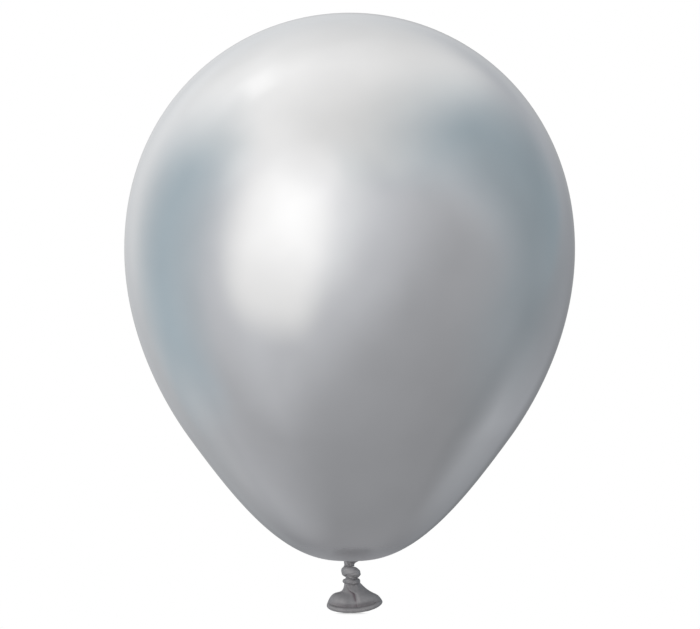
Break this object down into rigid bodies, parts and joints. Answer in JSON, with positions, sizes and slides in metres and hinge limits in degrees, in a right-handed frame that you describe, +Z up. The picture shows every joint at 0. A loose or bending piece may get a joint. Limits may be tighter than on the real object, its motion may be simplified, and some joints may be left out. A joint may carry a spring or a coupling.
{
  "type": "mirror balloon",
  "caption": "Small blown-up party balloon in mirror-silver latex, with a knotted neck, a flared tail and a rolled lip.",
  "frame": {"origin": "on the balloon's axis, at the waist of the gathered neck just above the knot", "axes": "+Z up along the balloon's axis, from the knot to the crown; -Y towards the side the picture shows"},
  "size_m": [0.125, 0.125, 0.1668],
  "materials": {
    "stretched_latex": "mirror-silver latex, blown up tight, satin mirror",
    "relaxed_latex": "the same silver latex unstretched: darker and duller, with a soft sheen"
  },
  "bodies": {
    "root": {"envelope": "stretched_latex", "neck": "relaxed_latex", "knot": "relaxed_latex", "tail": "relaxed_latex", "lip": "relaxed_latex"}
  },
  "joints": []
}
